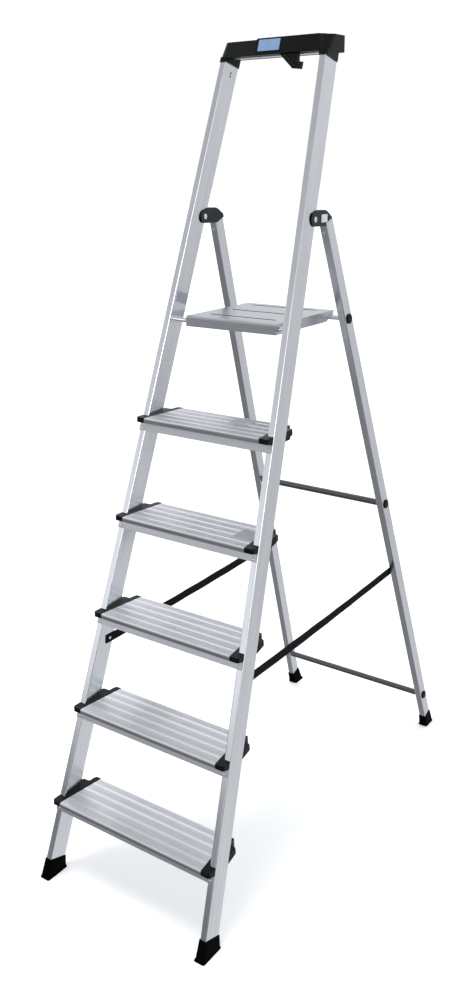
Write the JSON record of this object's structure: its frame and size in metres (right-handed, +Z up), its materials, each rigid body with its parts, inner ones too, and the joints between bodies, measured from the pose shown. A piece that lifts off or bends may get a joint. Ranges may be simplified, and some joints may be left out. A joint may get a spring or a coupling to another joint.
{
  "type": "step ladder",
  "caption": "Folding aluminium step ladder with ribbed treads, a slotted platform, a high bow carrying a moulded tray and hook, and black plastic feet and caps.",
  "frame": {"origin": "middle of the footprint on the floor, with the ladder standing open", "axes": "+X to the climber's right, +Y from the climbing side towards the rear legs, +Z up"},
  "size_m": [0.5286, 1.2654, 2.0136],
  "materials": {
    "aluminium_tube": "drawn, satin",
    "aluminium_tread": "ribbed extrusion, satin",
    "bright_steel": "bright zinc plated",
    "black_plastic": "moulded, fine grain",
    "webbing": "flat woven webbing",
    "label_plate": "plain printed plate"
  },
  "bodies": {
    "front_frame": {"stile_left": "aluminium_tube", "stile_right": "aluminium_tube", "front_foot_left": "black_plastic", "front_foot_right": "black_plastic", "tread_1": "aluminium_tread", "tread_2": "aluminium_tread", "tread_3": "aluminium_tread", "tread_4": "aluminium_tread", "tread_5": "aluminium_tread", "tread_cap_left_1": "black_plastic", "tread_cap_left_2": "black_plastic", "tread_cap_left_3": "black_plastic", "tread_cap_left_4": "black_plastic", "tread_cap_left_5": "black_plastic", "tread_cap_right_1": "black_plastic", "tread_cap_right_2": "black_plastic", "tread_cap_right_3": "black_plastic", "tread_cap_right_4": "black_plastic", "tread_cap_right_5": "black_plastic", "hinge_pin_left": "bright_steel", "hinge_pin_right": "bright_steel", "strap_left": "webbing", "strap_right": "webbing", "strap_rivet_front_left": "bright_steel", "strap_rivet_front_right": "bright_steel", "top_tray": "black_plastic", "top_bar": "aluminium_tube", "bucket_hook": "black_plastic", "tray_label": "label_plate", "platform_rod_front": "bright_steel"},
    "rear_frame": {"rear_leg_left": "aluminium_tube", "rear_leg_right": "aluminium_tube", "rear_foot_left": "black_plastic", "rear_foot_right": "black_plastic", "hinge_cap_left": "black_plastic", "hinge_cap_right": "black_plastic", "leg_rivet_left": "bright_steel", "leg_rivet_right": "bright_steel", "plug_rod_left": "black_plastic", "plug_rod_right": "black_plastic", "plug_mid_left": "black_plastic", "plug_mid_right": "black_plastic", "plug_low_left": "black_plastic", "plug_low_right": "black_plastic", "strap_rivet_rear_left": "bright_steel", "strap_rivet_rear_right": "bright_steel", "crossbar_mid": "aluminium_tube", "crossbar_low": "aluminium_tube", "platform_rod_rear": "bright_steel"},
    "platform": {"platform_deck": "aluminium_tread", "platform_fascia": "aluminium_tread", "platform_side_left": "aluminium_tread", "platform_side_right": "aluminium_tread"}
  },
  "joints": [
    {"name": "fold", "type": "hinge", "parent": "front_frame", "child": "rear_frame", "pos_m": [0, -0.02447, 1.6163], "axis": [-1, 0, 0], "range_deg": [0, 37.5], "deforming": ["strap_left", "strap_right"]},
    {"name": "platform_lift", "type": "hinge", "parent": "front_frame", "child": "platform", "pos_m": [0, -0.11777, 1.3753], "axis": [1, 0, 0], "range_deg": [0, 70]}
  ],
  "couplings": [
    {"joint": "platform_lift", "follows": "fold", "ratio": 1.86}
  ]
}
